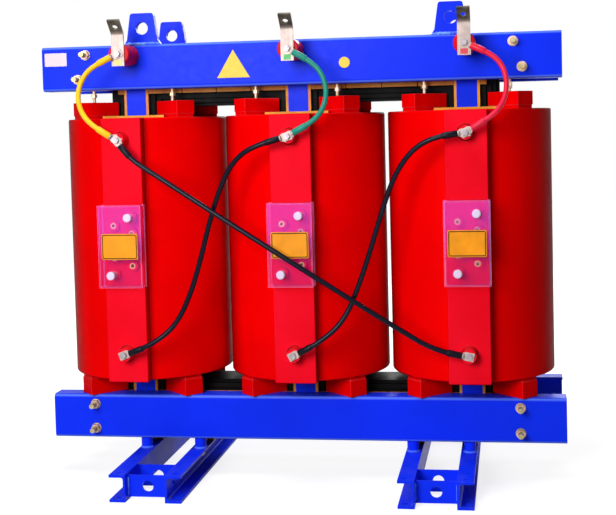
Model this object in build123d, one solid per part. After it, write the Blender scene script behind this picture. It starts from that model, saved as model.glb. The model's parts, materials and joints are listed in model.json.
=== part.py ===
"""Three-phase dry-type transformer with cast-resin coils, on a bolted foot frame.

X runs along the three limbs, Y from the high-voltage front (-Y) to the low-voltage rear (+Y),
Z up from the floor. The origin is on the floor, under the middle limb. All sizes are millimetres.
"""
import os
from math import atan2, cos, degrees, hypot, pi, radians, sin, sqrt, tan

from build123d import *

# ---------------------------------------------------------------- driving dimensions
# Core: stepped, mitred stacks of steel sheet
limb_spacing = 405.0
core_diameter = 180.0
packet_widths = (152.0, 136.0, 114.0, 88.0, 60.0)
yoke_to_coil = 27.0

# Coils
coil_height = 630.0
lv_bore = 198.0
lv_outer = 250.0
duct_inner = 218.0
duct_outer = 228.0
duct_spacers = 12
duct_spacer_width = 9.0
hv_bore = 296.0
hv_outer = 395.0
coil_edge_radius = 4.0
panel_width = 98.0
panel_proud = 24.0
panel_edge_radius = 3.0

# High-voltage terminals on the front panel of each coil
terminal_top_inset = 52.0
terminal_bottom_inset = 71.0
boss_base = 42.0
boss_tip = 32.0
boss_length = 28.0
insert_diameter = 18.0
insert_length = 34.0
lug_bolt = 8.0
lug_bolt_reach = 20.0

# Tap field on the front panel: two staggered columns of threaded inserts
tap_rows = 4
tap_pitch = 38.5
tap_stagger = 20.0
tap_column_offset = 22.0
tap_centre_above_base = 328.0
tap_boss_diameter = 27.0
tap_boss_length = 9.0
tap_insert_diameter = 14.0
tap_insert_length = 26.0
tap_bolt = 8.0
tap_bolt_reach = 12.0
tap_insert_depth = 18.0
tap_link_width = 20.0
tap_link_thickness = 4.0

# Clear cover over each tap field
cover_width = 105.0
cover_height = 194.0
cover_depth = 33.0
cover_wall = 2.5
cover_nut_diameter = 20.0
cover_nut_length = 9.0

# Clamping frame of bent plate
clamp_overhang = 220.0
clamp_height = 108.0
clamp_plate = 6.0
clamp_bend = 9.0
clamp_flange = 48.0
clamp_inner = 92.0
tie_plate_width = 49.0
tie_plate_thickness = 5.0
tie_plate_inset = 10.0
tie_channel_leg = 6.0

# Yoke insulation: rows of short boards with gaps between
board_overhang = 46.0
board_drop = 10.0
board_pitch = 84.0
board_gap = 2.5
board_end_clearance = 1.0

# Feet: two pairs of rolled channels, joined by cross plates
foot_gauge = 660.0
foot_length = 716.0
foot_height = 63.0
foot_flange = 38.0
foot_web = 5.0
foot_flange_thickness = 6.0
foot_web_gap = 93.0
foot_root_radius = 5.0
anchor_hole = 12.0
anchor_inset = 20.0
axle_hole = 22.0
axle_inset = 52.0
cross_plate_thickness = 5.0
cross_plate_height = 50.0
cross_plate_insets = (24.0, 107.0)
cross_plate_hole = 26.0
post_height = 27.0
post_diameter = 28.0
post_base_diameter = 33.0
post_base_height = 4.0
core_pad_thickness = 4.0

# Coil supports and the bolts that press on them
support_azimuth = 45.5
support_inner = 92.0
support_outer = 191.0
support_width = 49.0
support_core_clearance = 72.0
support_step_height = 8.0
support_step_inset = 1.5
lower_support_height = 48.0
upper_support_height = 40.0
pressure_gap = 29.0
pressure_bolt = 8.0
pressure_bolt_offset = 99.0
pressure_nut_rise = 12.0

# Barrier board on the front of each low-voltage coil
barrier_width = 154.0
barrier_rear_width = 112.0
barrier_front = 122.0
barrier_depth = 22.0
barrier_thickness = 6.0

# Post insulators and high-voltage busbars
insulator_diameter = 50.0
insulator_length = 77.0
insulator_lip = 9.0
insulator_groove = 2.0
insulator_edge = 2.0
insulator_above_clamp_base = 81.0
insulator_bolt = 12.0
insulator_bolt_reach = 20.0
busbar_width = 30.0
busbar_thickness = 5.0
busbar_bend = 8.0
busbar_below_axis = 28.0
busbar_above_axis = 48.0
busbar_tongue = 42.0
busbar_hole = 13.0

# Cables and their lugs
cable_diameter = 12.0
lug_palm_width = 19.0
lug_palm_end = 11.0
lug_palm_thickness = 3.0
lug_palm_corner = 2.0
lug_barrel_start = 14.0
lug_barrel_overlap = 2.5
lug_barrel_end = 36.0
sleeve_diameter = 15.0
sleeve_start = 16.5
sleeve_end = 50.0

# Through rods of the clamps: distance from the clamp's end and height above the clamp's base
upper_rod_places = ((111.0, 86.0), (91.0, 27.0))
lower_rod_places = ((107.0, 85.0), (107.0, 25.0))
rod_diameter = 12.0
rod_reach = 34.0
rod_nut_across = 19.0
rod_nut_height = 10.0
rod_washer_diameter = 24.0
rod_washer_thickness = 2.5
foot_bolt_end = 4.0

# Lifting lugs, welded on the upper clamps
lug_offset = 371.5
lug_plate = 16.0
lug_set_back = 4.0
lug_foot_width = 90.0
lug_neck_width = 76.0
lug_neck_height = 11.0
lug_top_width = 57.0
lug_height = 75.0
lug_corner = 7.0
lug_hole = 30.0
lug_hole_height = 38.5

# Low-voltage busbars at the rear
lv_bar_width = 80.0
lv_bar_thickness = 8.0
lv_bar_bend = 14.0
lv_bar_offset = 12.0
lv_bar_rise = 18.0
lv_bar_above_clamp = 24.0
lv_bar_hole = 13.0
lv_bar_hole_spacing = 40.0
lv_bar_hole_inset = 20.0
lv_insulator_diameter = 50.0
lv_insulator_length = 85.0
lv_insulator_above_clamp_base = 70.0
neutral_thickness = 6.0
neutral_lead_width = 20.0
neutral_lead_bend = 10.0
neutral_lead_offset = -43.0
neutral_lead_start = 92.0
neutral_lead_rise = 17.0
neutral_bar_height = 30.0
neutral_bar_above_clamp_base = 24.0
neutral_bar_overhang = 14.0
neutral_standoff_diameter = 30.0
neutral_standoff_length = 22.0
neutral_standoff_place = 200.0
neutral_riser_place = -331.0
neutral_riser_width = 40.0
neutral_riser_above_clamp = 20.0
neutral_bolt = 8.0
neutral_bolt_head = 5.5
neutral_nut_height = 6.5
standoff_nut_height = 8.0

# Fasteners
bolt_head_height = 7.0
bolt_across = 17.0
small_bolt_across = 13.0
small_bolt_head = 5.5
small_washer_diameter = 16.0
small_washer_thickness = 1.6
terminal_bolt = 10.0
terminal_bolt_reach = 22.0
washer_thickness = 2.0
washer_diameter = 21.0
hole_clearance = 0.5

# ---------------------------------------------------------------- derived places
clamp_length = 2 * (limb_spacing + clamp_overhang)
limbs = {"left": -limb_spacing, "middle": 0.0, "right": limb_spacing}
sides = {"front": -1, "rear": 1}


def packet_depth(width):
    """Half the stack depth at which a packet of this width meets the core circle."""
    return sqrt((core_diameter / 2) ** 2 - (width / 2) ** 2)


yoke_height = packet_widths[0]
stack_half = packet_depth(packet_widths[-1])
tie_plate_back = clamp_inner - tie_plate_thickness
clamp_face = clamp_inner + clamp_flange

lower_yoke_base = foot_height + core_pad_thickness
lower_clamp_base = foot_height + post_height
lower_clamp_top = lower_clamp_base + clamp_height
coil_base = lower_clamp_top + lower_support_height
coil_top = coil_base + coil_height
upper_support_top = coil_top + upper_support_height
upper_clamp_base = upper_support_top + pressure_gap
upper_clamp_top = upper_clamp_base + clamp_height
upper_yoke_base = coil_top + yoke_to_coil

panel_front = hv_outer / 2 + panel_proud
boss_front = panel_front + boss_length
terminal_heights = {"top": coil_top - terminal_top_inset, "bottom": coil_base + terminal_bottom_inset}
insulator_height = upper_clamp_base + insulator_above_clamp_base
insulator_front = clamp_face + insulator_length
busbar_front = insulator_front + busbar_thickness
bolt_hole = terminal_bolt + 2 * hole_clearance
lug_bolt_hole = lug_bolt + 2 * hole_clearance
lug_barrel_rise = sleeve_diameter / 2
pressure_bolt_y = clamp_inner + clamp_flange / 2
post_offset = (foot_web_gap + foot_flange) / 2 + foot_web / 2
lv_bar_plane = clamp_face + lv_insulator_length
lv_insulator_height = upper_clamp_base + lv_insulator_above_clamp_base
neutral_bar_plane = clamp_face + neutral_standoff_length
neutral_height = upper_clamp_base + neutral_bar_above_clamp_base
neutral_left = -limb_spacing + neutral_lead_offset - neutral_lead_width / 2 - neutral_bar_overhang
neutral_right = limb_spacing + neutral_lead_offset + neutral_lead_width / 2 + neutral_bar_overhang
standoff_places = (-neutral_standoff_place, neutral_standoff_place)


# ---------------------------------------------------------------- helpers
def along_front(x, y, z):
    """Frame with its Z towards the front (-Y) at the given point."""
    return Location((x, y, z), (90, 0, 0))


def along_rear(x, y, z):
    """Frame with its Z towards the rear (+Y) at the given point."""
    return Location((x, y, z), (-90, 0, 0))


def facing(side, x, depth, z):
    """Frame on the front or rear at a depth from the core's middle plane, with its Z outwards."""
    return along_front(x, -depth, z) if side < 0 else along_rear(x, depth, z)


def rod(diameter, length, base=0.0):
    return Pos(0, 0, base) * Cylinder(diameter / 2, length, align=(Align.CENTER, Align.CENTER, Align.MIN))


def box_between(low, high):
    size = [b - a for a, b in zip(low, high)]
    middle = [(a + b) / 2 for a, b in zip(low, high)]
    return Pos(*middle) * Box(*size)


def hexagon(across, height, base=0.0):
    """Hexagonal prism, sized across its flats."""
    profile = RegularPolygon(across / 2, 6, major_radius=False)
    return Pos(0, 0, base) * extrude(profile, height)


def hex_bolt(shank, reach, across, head):
    """Bolt whose head sits on Z = 0 and whose shank reaches down."""
    return hexagon(across, head) + rod(shank, reach, -reach)


def hex_nut(bore, across, height):
    return hexagon(across, height) - rod(bore, height)


def washer(bore, diameter, thickness):
    return rod(diameter, thickness) - rod(bore, thickness)


def bent_bar(points, bend, width, thickness, x):
    """Flat bar of the given width along X, bent to a path of (y, z) points."""
    path = FilletPolyline(*[(x, y, z) for y, z in points], radius=bend)
    start = Plane(origin=path @ 0, x_dir=(1, 0, 0), z_dir=path % 0)
    return sweep(start * Rectangle(width, thickness), path=path)


def polygon_plate(points, thickness):
    """Plate in the XZ plane, given as (x, z) points, from Y = 0 towards the rear."""
    outline = Polyline(*[(x, 0, z) for x, z in points], close=True)
    return extrude(make_face(outline), thickness, dir=(0, 1, 0))


def write(name, pieces):
    """One STEP file: a single solid, or a group of separate solids."""
    pieces = list(pieces)
    shape = pieces[0] if len(pieces) == 1 else Compound(children=[Compound(p.solids()) for p in pieces])
    shape.label = name
    export_step(shape, os.path.join("parts", name + ".step"))


# ---------------------------------------------------------------- core
def packets():
    """Width and the near and far distance from the middle plane of each packet of sheets."""
    near = 0.0
    for width in packet_widths:
        far = packet_depth(width)
        yield width, near, far
        near = far


def stepped(outline):
    """Stack of all packets, each with the outline for its own width, front and rear alike."""
    stack = None
    for width, near, far in packets():
        for side in (-1, 1):
            plate = polygon_plate(outline(width), far - near)
            layer = Pos(0, near if side > 0 else -far, 0) * plate
            stack = layer if stack is None else stack + layer
    return stack


def yoke_centres():
    return lower_yoke_base + yoke_height / 2, upper_yoke_base + yoke_height / 2


def side_limb_outline(width, x, outward):
    """Limb between the mitres of both outer corners."""
    low, high = yoke_centres()
    half = width / 2
    outer = x + outward * half
    inner = x - outward * half
    return [(outer, low - half), (outer, high + half), (inner, high - half), (inner, low + half)]


def middle_limb_outline(width):
    """Limb with a pointed end that fills the notch of each yoke."""
    low, high = yoke_centres()
    half = width / 2
    return [(-half, low + half), (0, low), (half, low + half), (half, high - half), (0, high), (-half, high - half)]


def yoke_outline(width, centre, outward):
    """Yoke with mitred ends and a notch for the middle limb."""
    half = width / 2
    outer = centre + outward * half
    inner = centre - outward * half
    end = limb_spacing + half
    window = limb_spacing - half
    return [(-end, outer), (end, outer), (window, inner), (half, inner), (0, centre), (-half, inner),
            (-window, inner)]


def core_pieces():
    low, high = yoke_centres()
    return {
        "core_limb_left": stepped(lambda w: side_limb_outline(w, -limb_spacing, -1)),
        "core_limb_middle": stepped(middle_limb_outline),
        "core_limb_right": stepped(lambda w: side_limb_outline(w, limb_spacing, 1)),
        "core_yoke_lower": stepped(lambda w: yoke_outline(w, low, -1)),
        "core_yoke_upper": stepped(lambda w: yoke_outline(w, high, 1)),
    }


# ---------------------------------------------------------------- clamping frame
def clamp(base, side):
    """Channel bent from plate, open towards the core."""
    middle = clamp_face - clamp_plate / 2
    low = base + clamp_plate / 2
    high = base + clamp_height - clamp_plate / 2
    points = [(side * clamp_inner, low), (side * middle, low), (side * middle, high), (side * clamp_inner, high)]
    return bent_bar(points, clamp_bend - clamp_plate / 2, clamp_length, clamp_plate, 0)


def rod_holes(places, base, side):
    for inset, height in places:
        offset = clamp_length / 2 - inset
        for x in (-offset, offset):
            yield facing(side, x, clamp_face - clamp_plate, base + height) * rod(
                rod_diameter + 2 * hole_clearance, clamp_plate)


def upper_clamp(side):
    body = clamp(upper_clamp_base, side)
    for hole in rod_holes(upper_rod_places, upper_clamp_base, side):
        body -= hole
    if side > 0:
        for x in standoff_places:
            body -= along_rear(x, clamp_face, neutral_height) * rod(terminal_bolt, clamp_plate, -clamp_plate)
    for x, y in pressure_places():
        if y * side > 0:
            body -= Pos(x, y, upper_clamp_base) * rod(pressure_bolt, clamp_plate)
    for place in insulator_bolt_places(side):
        body -= place * rod(insulator_bolt, clamp_plate, -clamp_plate)
    return body


def lower_clamp(side):
    body = clamp(lower_clamp_base, side)
    for hole in rod_holes(lower_rod_places, lower_clamp_base, side):
        body -= hole
    for x, y in post_places():
        if y * side > 0:
            body -= Pos(x, y, lower_clamp_base) * rod(rod_diameter, clamp_plate)
    return body


def rods():
    """Through rods, their nuts and their washers."""
    face = clamp_face + rod_washer_thickness
    bars = []
    nuts = []
    washers = []
    for places, base in ((upper_rod_places, upper_clamp_base), (lower_rod_places, lower_clamp_base)):
        for inset, height in places:
            offset = clamp_length / 2 - inset
            for x in (-offset, offset):
                z = base + height
                reach = clamp_face + rod_reach
                bars.append(along_rear(x, -reach, z) * rod(rod_diameter, 2 * reach))
                for side in sides.values():
                    nuts.append(facing(side, x, face, z) * hex_nut(rod_diameter, rod_nut_across, rod_nut_height))
                    washers.append(facing(side, x, clamp_face, z) * washer(
                        rod_diameter, rod_washer_diameter, rod_washer_thickness))
    return bars, nuts, washers


def lifting_lug():
    """Tapered plate with a wide welded foot, on Z = 0 with its outer face on Y = 0."""
    foot, neck, top = lug_foot_width / 2, lug_neck_width / 2, lug_top_width / 2
    plate = polygon_plate([(-foot, 0), (foot, 0), (neck, lug_neck_height), (top, lug_height),
                           (-top, lug_height), (-neck, lug_neck_height)], lug_plate)
    corners = plate.edges().filter_by(Axis.Y).sort_by(Axis.Z)[-2:]
    plate = fillet(corners, lug_corner)
    return plate - along_rear(0, 0, lug_hole_height) * rod(lug_hole, lug_plate)


def lifting_lugs():
    lug = lifting_lug()
    depth = clamp_face - lug_set_back
    for x in (-lug_offset, lug_offset):
        yield Pos(x, -depth, upper_clamp_top) * lug
        yield Pos(x, depth - lug_plate, upper_clamp_top) * lug


def tie_plates():
    """Flat steel straps along both faces of each limb, under the clamps' flanges."""
    low = lower_clamp_base + tie_plate_inset
    high = upper_clamp_top - tie_plate_inset
    for x in limbs.values():
        for side in sides.values():
            depths = sorted((side * tie_plate_back, side * clamp_inner))
            yield box_between((x - tie_plate_width / 2, depths[0], low), (x + tie_plate_width / 2, depths[1], high))


def tie_channels():
    """Insulating channel round the back and both edges of each tie plate."""
    low = lower_clamp_base + tie_plate_inset
    high = upper_clamp_top - tie_plate_inset
    half = tie_plate_width / 2
    for x in limbs.values():
        for side in sides.values():
            depths = sorted((side * stack_half, side * clamp_inner))
            body = box_between((x - half - tie_channel_leg, depths[0], low),
                               (x + half + tie_channel_leg, depths[1], high))
            slot = sorted((side * tie_plate_back, side * clamp_inner))
            yield body - box_between((x - half, slot[0], low), (x + half, slot[1], high))


def board_spans():
    """Stretches of the yoke's face between the tie plates, cut into short boards."""
    half = tie_plate_width / 2 + tie_channel_leg + board_end_clearance
    reach = limb_spacing + board_overhang
    stops = [-reach]
    for x in limbs.values():
        stops += [x - half, x + half]
    stops.append(reach)
    for start, end in zip(stops[::2], stops[1::2]):
        count = max(1, round((end - start) / board_pitch))
        pitch = (end - start + board_gap) / count
        for index in range(count):
            low = start + index * pitch
            yield low, low + pitch - board_gap


def yoke_boards():
    heights = ((lower_clamp_base, lower_clamp_top), (upper_clamp_base - board_drop, upper_clamp_top))
    for low, high in heights:
        for start, end in board_spans():
            yield box_between((start, -clamp_inner, low), (end, -stack_half, high))
            yield box_between((start, stack_half, low), (end, clamp_inner, high))


# ---------------------------------------------------------------- coils
def tube(outer, inner, height, base):
    return rod(outer, height, base) - rod(inner, height, base)


def lv_coil(x):
    """Foil winding in two layers, held apart by bonded strips that leave air ducts between."""
    ducts = tube(duct_outer, duct_inner, coil_height, coil_base)
    for index in range(duct_spacers // 2):
        strip = box_between((-duct_outer, -duct_spacer_width / 2, coil_base),
                            (duct_outer, duct_spacer_width / 2, coil_top))
        ducts -= Rot(0, 0, 360 * (index + 0.5) / duct_spacers) * strip
    return Pos(x, 0, 0) * (tube(lv_outer, lv_bore, coil_height, coil_base) - ducts)


def tap_places():
    """Offset from the coil's middle and height of every tap, column by column."""
    centre = coil_base + tap_centre_above_base
    for column in (-1, 1):
        for row in range(tap_rows):
            rise = (row - (tap_rows - 1) / 2) * tap_pitch + column * tap_stagger / 2
            yield column * tap_column_offset, centre + rise


def cover_stud_places():
    """The lowest tap on the left and the highest on the right carry the cover."""
    places = list(tap_places())
    return places[0], places[-1]


def hv_coil(x):
    """Cast winding with a flat front panel, cone bosses at both terminals and a field of tap bosses."""
    body = rod(hv_outer, coil_height, coil_base)
    panel = box_between((-panel_width / 2, -panel_front, coil_base), (panel_width / 2, 0, coil_top))
    corners = panel.edges().filter_by(Axis.Z).sort_by(Axis.Y)[:2]
    body += fillet(corners, panel_edge_radius)
    rims = body.faces().sort_by(Axis.Z)[-1].edges() + body.faces().sort_by(Axis.Z)[0].edges()
    body = fillet(rims, coil_edge_radius)
    for height in terminal_heights.values():
        cone = Cone(boss_base / 2, boss_tip / 2, boss_length, align=(Align.CENTER, Align.CENTER, Align.MIN))
        body += along_front(0, -panel_front, height) * cone
    for offset, height in tap_places():
        body += along_front(offset, -panel_front, height) * rod(tap_boss_diameter, tap_boss_length)
    body -= rod(hv_bore, coil_height, coil_base)
    for height in terminal_heights.values():
        body -= along_front(0, -boss_front, height) * rod(insert_diameter, insert_length, -insert_length)
    for offset, height in tap_places():
        seat = along_front(offset, -panel_front - tap_boss_length, height)
        body -= seat * rod(tap_insert_diameter, tap_insert_length, -tap_insert_length)
    return Pos(x, 0, 0) * body


def threaded_insert(diameter, length, bore, depth):
    """Insert with its open face on Z = 0, and a blind threaded hole."""
    return rod(diameter, length, -length) - rod(bore, depth, -depth)


def terminal_inserts():
    for x in limbs.values():
        for height in terminal_heights.values():
            yield along_front(x, -boss_front, height) * threaded_insert(
                insert_diameter, insert_length, lug_bolt, lug_bolt_reach + small_washer_thickness)


def tap_inserts():
    insert = threaded_insert(tap_insert_diameter, tap_insert_length, tap_bolt, tap_insert_depth)
    for x in limbs.values():
        for offset, height in tap_places():
            yield along_front(x + offset, -panel_front - tap_boss_length, height) * insert


def tap_link_ends():
    """The two neighbouring taps in the middle of the field that the link joins."""
    places = list(tap_places())
    return places[tap_rows // 2], places[tap_rows + 1]


def tap_links():
    """Flat link with round ends between two taps."""
    (x1, z1), (x2, z2) = tap_link_ends()
    length = hypot(x2 - x1, z2 - z1)
    bar = extrude(SlotCenterToCenter(length, tap_link_width), tap_link_thickness)
    for place in (-length / 2, length / 2):
        bar -= Pos(place, 0, 0) * rod(tap_bolt + 2 * hole_clearance, tap_link_thickness)
    tilt = Rot(0, 0, degrees(atan2(z2 - z1, x2 - x1)))
    for x in limbs.values():
        yield along_front(x + (x1 + x2) / 2, -panel_front - tap_boss_length, (z1 + z2) / 2) * tilt * bar


def tap_link_bolts():
    depth = panel_front + tap_boss_length + tap_link_thickness
    bolt = hex_bolt(tap_bolt, tap_link_thickness + tap_bolt_reach, small_bolt_across, small_bolt_head)
    for x in limbs.values():
        for offset, height in tap_link_ends():
            yield along_front(x + offset, -depth, height) * bolt


def tap_cover(x):
    """Clear five-sided box with its open side on the panel."""
    centre = coil_base + tap_centre_above_base
    low = (x - cover_width / 2, -panel_front - cover_depth, centre - cover_height / 2)
    high = (x + cover_width / 2, -panel_front, centre + cover_height / 2)
    hollow_low = (low[0] + cover_wall, low[1] + cover_wall, low[2] + cover_wall)
    hollow_high = (high[0] - cover_wall, high[1], high[2] - cover_wall)
    shell = box_between(low, high) - box_between(hollow_low, hollow_high)
    for offset, height in cover_stud_places():
        shell -= along_front(x + offset, low[1] + cover_wall, height) * rod(tap_bolt + 2 * hole_clearance, cover_wall)
    return shell


def cover_studs():
    """Threaded studs from the two corner taps out through the cover, each with a seating collar."""
    start = panel_front + tap_boss_length
    inside = panel_front + cover_depth - cover_wall
    outside = cover_depth - tap_boss_length + cover_nut_length - 2
    for x in limbs.values():
        for offset, height in cover_stud_places():
            stud = rod(tap_bolt, tap_bolt_reach + outside, -tap_bolt_reach)
            collar = rod(small_bolt_across, inside - start)
            yield along_front(x + offset, -start, height) * (stud + collar)


def cover_nuts():
    """Domed nylon nuts on the cover's studs."""
    face = panel_front + cover_depth
    for x in limbs.values():
        for offset, height in cover_stud_places():
            nut = rod(cover_nut_diameter, cover_nut_length)
            nut = fillet(nut.edges().sort_by(Axis.Z)[-1], cover_nut_length / 3)
            nut -= rod(tap_bolt, cover_nut_length - 2)
            yield along_front(x + offset, -face, height) * nut


# ---------------------------------------------------------------- coil supports
def support(base, height, coil_above):
    """Radial resin block, stepped in next to the coil, its inner corner trimmed clear of the yoke."""
    length = support_outer - support_inner
    reach = (support_outer + support_inner) / 2
    step = (length - 2 * support_step_inset, support_width - 2 * support_step_inset, support_step_height)
    body = (length, support_width, height - support_step_height)
    lower, upper = (body, step) if coil_above else (step, body)
    seat = (Align.CENTER, Align.CENTER, Align.MIN)
    block = Pos(reach, 0, base) * Box(*lower, align=seat)
    block += Pos(reach, 0, base + lower[-1]) * Box(*upper, align=seat)
    block = Rot(0, 0, 90 - support_azimuth) * block
    keep = box_between((0, support_core_clearance, base), (support_outer, support_outer, base + height))
    return block & keep


def supports(base, height, coil_above):
    """Four blocks at each coil."""
    block = support(base, height, coil_above)
    for x in limbs.values():
        for flip_x in (False, True):
            for flip_y in (False, True):
                piece = mirror(block, about=Plane.YZ) if flip_x else block
                piece = mirror(piece, about=Plane.XZ) if flip_y else piece
                yield Pos(x, 0, 0) * piece


def pressure_places():
    for x in limbs.values():
        for offset in (-pressure_bolt_offset, pressure_bolt_offset):
            for side in sides.values():
                yield x + offset, side * pressure_bolt_y


def pressure_bolts():
    length = pressure_gap + clamp_plate
    bolt = hex_bolt(pressure_bolt, length, small_bolt_across, small_bolt_head)
    for x, y in pressure_places():
        yield Pos(x, y, upper_support_top + length) * bolt


def pressure_nuts():
    nut = hex_nut(pressure_bolt, small_bolt_across, pressure_bolt)
    for x, y in pressure_places():
        yield Pos(x, y, upper_support_top + pressure_nut_rise) * nut


def barrier_boards():
    """Board that bridges the front of the low-voltage coil between two supports."""
    front, rear = barrier_width / 2, barrier_rear_width / 2
    for x in limbs.values():
        outline = Polyline((x - front, -barrier_front), (x + front, -barrier_front),
                           (x + rear, -barrier_front + barrier_depth), (x - rear, -barrier_front + barrier_depth),
                           close=True)
        yield Pos(0, 0, coil_top) * extrude(make_face(outline), barrier_thickness)


# ---------------------------------------------------------------- feet
def foot_channel_places():
    """Middle line of each foot channel's web and the side its flanges point to."""
    for foot in (-foot_gauge / 2, foot_gauge / 2):
        for outward in (-1, 1):
            yield foot, outward


def foot_channel(foot, outward):
    """Rolled channel along Y with its web towards the middle of the foot."""
    near, far = foot_web_gap / 2, foot_web_gap / 2 + foot_flange
    half = foot_length / 2
    xs = sorted((foot + outward * near, foot + outward * far))
    body = box_between((xs[0], -half, 0), (xs[1], half, foot_height))
    hollow = sorted((foot + outward * (near + foot_web), foot + outward * (far + foot_web)))
    gap = box_between((hollow[0], -half, foot_flange_thickness),
                      (hollow[1], half, foot_height - foot_flange_thickness))
    roots = gap.edges().filter_by(Axis.Y).sort_by(lambda e: outward * e.center().X)[:2]
    body -= fillet(roots, foot_root_radius)
    middle = foot + outward * post_offset
    for y in (-half + anchor_inset, half - anchor_inset):
        body -= Pos(middle, y, 0) * rod(anchor_hole, foot_height)
    for y in (-half + axle_inset, half - axle_inset):
        body -= Location((foot + outward * near, y, foot_height / 2), (0, outward * 90, 0)) * rod(axle_hole, foot_web)
    for y in (-pressure_bolt_y, pressure_bolt_y):
        body -= Pos(middle, y, foot_height / 2) * rod(rod_diameter, foot_height / 2)
    return body


def cross_plates():
    """Plates between the webs of each foot, two at each end, with a round hole."""
    low = (foot_height - cross_plate_height) / 2
    for foot in (-foot_gauge / 2, foot_gauge / 2):
        for inset in cross_plate_insets:
            for end in (-1, 1):
                y = end * (foot_length / 2 - inset)
                ys = sorted((y, y - end * cross_plate_thickness))
                plate = box_between((foot - foot_web_gap / 2, ys[0], low),
                                    (foot + foot_web_gap / 2, ys[1], low + cross_plate_height))
                yield plate - along_rear(foot, ys[0], foot_height / 2) * rod(cross_plate_hole, cross_plate_thickness)


def post_places():
    for foot, outward in foot_channel_places():
        for side in sides.values():
            yield foot + outward * post_offset, side * pressure_bolt_y


def foot_posts():
    """Tubular spacers between the feet and the lower clamps, with a weld collar at the base."""
    post = rod(post_diameter, post_height)
    post += Cone(post_base_diameter / 2, post_diameter / 2, post_base_height,
                 align=(Align.CENTER, Align.CENTER, Align.MIN))
    post -= rod(rod_diameter, post_height)
    for x, y in post_places():
        yield Pos(x, y, foot_height) * post


def foot_bolts():
    grip = clamp_plate + post_height + foot_flange_thickness
    bolt = hex_bolt(rod_diameter, grip + rod_nut_height + foot_bolt_end, rod_nut_across, bolt_head_height)
    for x, y in post_places():
        yield Pos(x, y, lower_clamp_base + clamp_plate) * bolt


def foot_nuts():
    nut = hex_nut(rod_diameter, rod_nut_across, rod_nut_height)
    for x, y in post_places():
        yield Pos(x, y, foot_height - foot_flange_thickness - rod_nut_height) * nut


def core_pads():
    """Insulating pads between the foot channels and the lower yoke."""
    near, far = foot_web_gap / 2, foot_web_gap / 2 + foot_flange
    depth = packet_depth(packet_widths[0])
    for foot, outward in foot_channel_places():
        xs = sorted((foot + outward * near, foot + outward * far))
        yield box_between((xs[0], -depth, foot_height), (xs[1], depth, lower_yoke_base))


# ---------------------------------------------------------------- insulators and busbars
def post_insulator(diameter, length, bolt, reach):
    """Moulded post along Z with a grooved lip at its free end and a threaded hole at each end."""
    r, e, lip, g = diameter / 2, insulator_edge, length - insulator_lip, insulator_groove
    profile = Polyline((0, 0), (r, 0), (r, lip - g), (r - g, lip), (r, lip + g), (r, length - e),
                       (r - e, length), (0, length), close=True)
    body = revolve(Plane.XZ * make_face(profile), Axis.Z)
    body -= rod(insulator_bolt, insulator_bolt_reach)
    return body - rod(bolt, reach, length - reach)


def hv_insulators():
    post = post_insulator(insulator_diameter, insulator_length, lug_bolt, lug_bolt_reach)
    for x in limbs.values():
        yield along_front(x, -clamp_face, insulator_height) * post


def lv_insulators():
    """Posts for the phase bars and two short standoffs for the neutral bar."""
    post = post_insulator(lv_insulator_diameter, lv_insulator_length, terminal_bolt, terminal_bolt_reach)
    for x in limbs.values():
        yield along_rear(x + lv_bar_offset, clamp_face, lv_insulator_height) * post
    standoff = rod(neutral_standoff_diameter, neutral_standoff_length)
    standoff -= rod(terminal_bolt, neutral_standoff_length)
    for x in standoff_places:
        yield along_rear(x, clamp_face, neutral_height) * standoff


def insulator_bolt_places(side):
    """Where the insulators' bolts pass through the web of the upper clamp."""
    if side < 0:
        return [along_front(x, -clamp_face, insulator_height) for x in limbs.values()]
    return [along_rear(x + lv_bar_offset, clamp_face, lv_insulator_height) for x in limbs.values()]


def insulator_bolts():
    """Bolts from inside the upper clamps into the posts."""
    reach = insulator_bolt_reach - 2 + clamp_plate
    bolt = Pos(0, 0, -clamp_plate) * Rot(180, 0, 0) * hex_bolt(insulator_bolt, reach, rod_nut_across, bolt_head_height)
    for side in sides.values():
        for place in insulator_bolt_places(side):
            yield place * bolt


def hv_busbar(x):
    """Flat bar on the face of the post, its top bent forward into a drilled tongue."""
    plane = -(insulator_front + busbar_thickness / 2)
    low = insulator_height - busbar_below_axis
    bend = insulator_height + busbar_above_axis
    lean = busbar_tongue * sin(pi / 4)
    bar = bent_bar([(plane, low), (plane, bend), (plane - lean, bend + lean)], busbar_bend, busbar_width,
                   busbar_thickness, x)
    bar -= along_front(x, -insulator_front, insulator_height) * rod(lug_bolt_hole, busbar_thickness)
    tongue = Location((x, plane - lean / 2, bend + lean / 2), (-45, 0, 0))
    return bar - tongue * rod(busbar_hole, 2 * busbar_thickness, -busbar_thickness)


def lv_busbars():
    """Phase bars from the top of each low-voltage coil, out under the clamp and up past it."""
    start = (lv_outer + duct_outer) / 4
    shelf = coil_top + lv_bar_rise
    plane = lv_bar_plane + lv_bar_thickness / 2
    top = upper_clamp_top + lv_bar_above_clamp
    for x in limbs.values():
        centre = x + lv_bar_offset
        bar = bent_bar([(start, coil_top), (start, shelf), (plane, shelf), (plane, top)], lv_bar_bend, lv_bar_width,
                       lv_bar_thickness, centre)
        bar -= along_rear(centre, lv_bar_plane, lv_insulator_height) * rod(bolt_hole, lv_bar_thickness)
        for offset in (-lv_bar_hole_spacing / 2, lv_bar_hole_spacing / 2):
            place = along_rear(centre + offset, lv_bar_plane, top - lv_bar_hole_inset)
            bar -= place * rod(lv_bar_hole, lv_bar_thickness)
        yield bar


# ---------------------------------------------------------------- cables
# Each cable runs from one lug to another through hand-chosen points (x, y, z). The first and last
# points are (x, z) only: they lie in the plane of the lug's barrel, and the lug turns to face them.
def terminal(limb, end, layer=0):
    """Bolt centre on a coil terminal, on the back face of the given layer of lugs."""
    return (limbs[limb], -boss_front - layer * lug_palm_thickness, terminal_heights[end])


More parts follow.
